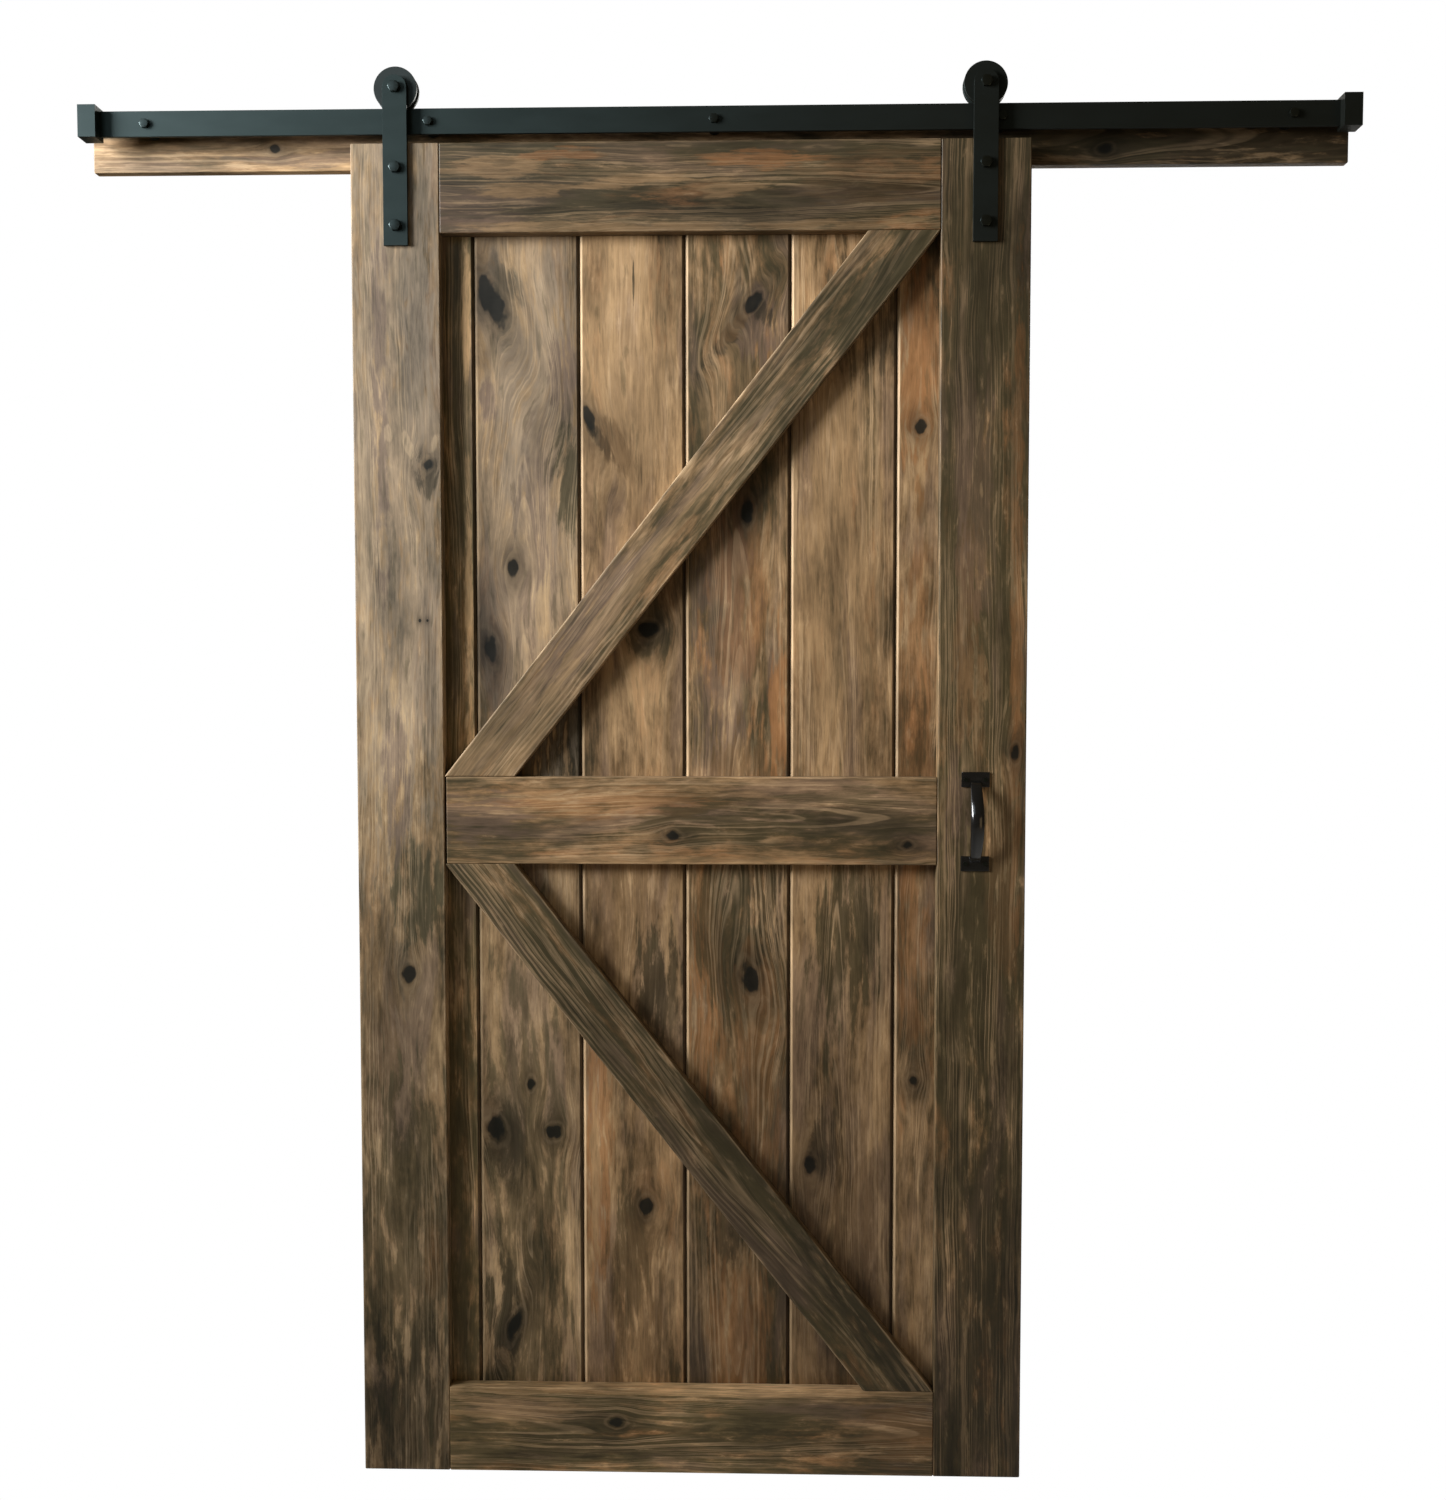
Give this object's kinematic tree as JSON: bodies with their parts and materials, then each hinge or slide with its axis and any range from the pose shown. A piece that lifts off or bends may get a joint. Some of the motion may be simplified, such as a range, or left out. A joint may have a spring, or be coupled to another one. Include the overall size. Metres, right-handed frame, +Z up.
{
  "type": "sliding barn door",
  "caption": "Sliding barn door leaf of V-jointed planks with two diagonal braces, hung by strap rollers on a flat-bar track with header board.",
  "frame": {"origin": "axis of the middle lag bolt at the back face of the header board, where the wall begins", "axes": "+X along the track to the viewer's right, +Y into the wall (the door faces -Y), +Z up"},
  "size_m": [2, 0.152, 2.2521],
  "materials": {
    "stained_pine": "dark walnut stain on knotty pine, satin",
    "black_steel": "black powder coat, satin",
    "black_bolt": "black coated, satin",
    "zinc_steel": "zinc plated",
    "black_wheel": "black nylon",
    "bearing_steel": "ground steel",
    "bearing_seal": "black rubber",
    "bearing_brass": "stamped brass",
    "gloss_black": "gloss black enamel"
  },
  "bodies": {
    "track": {"header_board": "stained_pine", "track_rail": "black_steel", "track_spacer_1": "black_steel", "track_spacer_2": "black_steel", "track_spacer_3": "black_steel", "track_spacer_4": "black_steel", "track_spacer_5": "black_steel", "lag_bolt_1": "black_bolt", "lag_bolt_2": "black_bolt", "lag_bolt_3": "black_bolt", "lag_bolt_4": "black_bolt", "lag_bolt_5": "black_bolt", "end_stop_left": "black_steel", "end_stop_right": "black_steel", "stop_bolt_left": "black_bolt", "stop_bolt_right": "black_bolt"},
    "door": {"stile_left": "stained_pine", "stile_right": "stained_pine", "rail_top": "stained_pine", "rail_middle": "stained_pine", "rail_bottom": "stained_pine", "brace_upper": "stained_pine", "brace_lower": "stained_pine", "plank_1": "stained_pine", "plank_2": "stained_pine", "plank_3": "stained_pine", "plank_4": "stained_pine", "plank_5": "stained_pine", "plank_6": "stained_pine", "frame_screws": "zinc_steel", "hanger_left": "black_steel", "hanger_right": "black_steel", "hanger_bolts_left": "black_bolt", "hanger_bolts_right": "black_bolt", "hanger_washers": "zinc_steel", "hanger_nuts": "zinc_steel", "axle_bolt_left": "black_bolt", "axle_bolt_right": "black_bolt", "axle_bushes_left": "zinc_steel", "axle_bushes_right": "zinc_steel", "axle_nut_left": "zinc_steel", "axle_nut_right": "zinc_steel", "bearing_inner_left": "bearing_steel", "bearing_inner_right": "bearing_steel", "handle": "gloss_black", "handle_screws": "black_bolt"},
    "wheel_left": {"wheel_left": "black_wheel", "bearing_outer_left": "bearing_steel", "bearing_seals_left": "bearing_seal"},
    "wheel_right": {"wheel_right": "black_wheel", "bearing_outer_right": "bearing_steel", "bearing_seals_right": "bearing_seal"},
    "cage_left": {"bearing_balls_left": "bearing_steel", "bearing_cage_left": "bearing_brass"},
    "cage_right": {"bearing_balls_right": "bearing_steel", "bearing_cage_right": "bearing_brass"}
  },
  "joints": [
    {"name": "door_slide", "type": "slide", "parent": "track", "child": "door", "axis": [1, 0, 0], "range_m": [-0.446, 0.522]},
    {"name": "wheel_left_turn", "type": "hinge", "parent": "door", "child": "wheel_left", "pos_m": [-0.4995, -0.057, 0.0481], "axis": [0, 1, 0], "range_deg": [-914, 1070]},
    {"name": "cage_left_turn", "type": "hinge", "parent": "door", "child": "cage_left", "pos_m": [-0.4995, -0.057, 0.0481], "axis": [0, 1, 0], "range_deg": [-566, 663]},
    {"name": "wheel_right_turn", "type": "hinge", "parent": "door", "child": "wheel_right", "pos_m": [0.4235, -0.057, 0.0481], "axis": [0, 1, 0], "range_deg": [-914, 1070]},
    {"name": "cage_right_turn", "type": "hinge", "parent": "door", "child": "cage_right", "pos_m": [0.4235, -0.057, 0.0481], "axis": [0, 1, 0], "range_deg": [-566, 663]}
  ],
  "couplings": [
    {"joint": "wheel_left_turn", "follows": "door_slide", "rad_per_m": 35.714},
    {"joint": "cage_left_turn", "follows": "door_slide", "rad_per_m": 22.107},
    {"joint": "wheel_right_turn", "follows": "door_slide", "rad_per_m": 35.714},
    {"joint": "cage_right_turn", "follows": "door_slide", "rad_per_m": 22.107}
  ]
}
